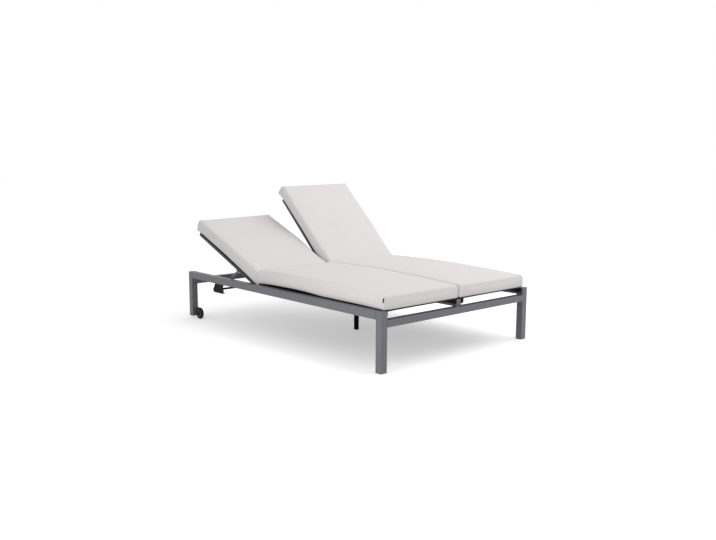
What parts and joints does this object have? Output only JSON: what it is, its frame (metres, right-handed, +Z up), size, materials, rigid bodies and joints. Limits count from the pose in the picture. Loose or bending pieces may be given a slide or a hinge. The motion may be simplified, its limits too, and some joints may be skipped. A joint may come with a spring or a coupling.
{
  "type": "double chaise lounger",
  "caption": "Low double sun lounger of square tube with side-by-side cushioned beds, separately reclining backrests on racks, and small wheels at the head end.",
  "frame": {"origin": "on the floor under the middle of the frame", "axes": "+X across, towards the left hand of a person lying down; +Y along the beds, from the foot end to the head end; +Z up"},
  "size_m": [1.28, 2, 0.9377],
  "materials": {
    "frame": "satin, warm-neutral dark grey powder coat",
    "rail_black": "matt black anodised",
    "sling": "black woven mesh",
    "cushion": "light grey woven outdoor fabric",
    "plastic": "matt black moulded plastic",
    "cap_grey": "matt grey moulded caps",
    "steel": "plain steel fasteners and pins",
    "tyre": "matt black solid tyre",
    "hub": "matt grey moulded hub"
  },
  "bodies": {
    "frame": {"side_rail_right": "frame", "side_rail_left": "frame", "foot_leg_right": "frame", "foot_leg_left": "frame", "head_leg_right": "frame", "head_leg_left": "frame", "foot_cross_rail": "frame", "head_cross_rail": "frame", "centre_rail": "frame", "centre_leg": "frame", "brace_right": "frame", "brace_left": "frame", "wheel_bracket_right": "frame", "wheel_bracket_left": "frame", "bearing_plates": "frame", "sling_rail_right_outer": "rail_black", "sling_rail_right_inner": "rail_black", "sling_rail_left_outer": "rail_black", "sling_rail_left_inner": "rail_black", "seat_sling_right": "sling", "seat_sling_left": "sling", "seat_cushion_right": "cushion", "seat_cushion_left": "cushion", "foot_glide_right": "cap_grey", "foot_glide_left": "cap_grey", "head_leg_caps": "cap_grey", "centre_foot": "plastic", "rack_right_outer": "plastic", "rack_right_inner": "plastic", "rack_left_outer": "plastic", "rack_left_inner": "plastic", "hinge_bolts": "steel", "rack_screws": "steel", "wheel_axles": "steel"},
    "backrest_right": {"back_tube_right_outer": "frame", "back_tube_right_inner": "frame", "back_top_tube_right": "frame", "back_bottom_tube_right": "frame", "back_sling_right": "sling", "prop_pins_right": "steel", "back_cushion_right": "cushion"},
    "prop_right": {"prop_arm_right_outer": "rail_black", "prop_arm_right_inner": "rail_black", "prop_bar_right": "rail_black"},
    "wheel_right": {"tyre_right": "tyre", "hub_right": "hub"},
    "backrest_left": {"back_tube_left_outer": "frame", "back_tube_left_inner": "frame", "back_top_tube_left": "frame", "back_bottom_tube_left": "frame", "back_sling_left": "sling", "prop_pins_left": "steel", "back_cushion_left": "cushion"},
    "prop_left": {"prop_arm_left_outer": "rail_black", "prop_arm_left_inner": "rail_black", "prop_bar_left": "rail_black"},
    "wheel_left": {"tyre_left": "tyre", "hub_left": "hub"}
  },
  "joints": [
    {"name": "backrest_right_angle", "type": "hinge", "parent": "frame", "child": "backrest_right", "pos_m": [-0.3075, 0.2355, 0.3225], "axis": [1, 0, 0], "range_deg": [-22.5, 21.5]},
    {"name": "backrest_left_angle", "type": "hinge", "parent": "frame", "child": "backrest_left", "pos_m": [0.3075, 0.2355, 0.3225], "axis": [1, 0, 0], "range_deg": [-44, 0]},
    {"name": "prop_right_swing", "type": "hinge", "parent": "backrest_right", "child": "prop_right", "pos_m": [-0.3075, 0.45456, 0.38943], "axis": [1, 0, 0], "range_deg": [-38.5, 40.3]},
    {"name": "prop_left_swing", "type": "hinge", "parent": "backrest_left", "child": "prop_left", "pos_m": [0.3075, 0.41479, 0.46506], "axis": [1, 0, 0], "range_deg": [0, 80]},
    {"name": "wheel_right_spin", "type": "hinge", "parent": "frame", "child": "wheel_right", "pos_m": [-0.6095, 0.908, 0.04], "axis": [1, 0, 0], "continuous": true},
    {"name": "wheel_left_spin", "type": "hinge", "parent": "frame", "child": "wheel_left", "pos_m": [0.6095, 0.908, 0.04], "axis": [1, 0, 0], "continuous": true}
  ],
  "couplings": [
    {"joint": "prop_right_swing", "follows": "backrest_right_angle", "ratio": -1.79},
    {"joint": "prop_left_swing", "follows": "backrest_left_angle", "ratio": -1.8167}
  ]
}
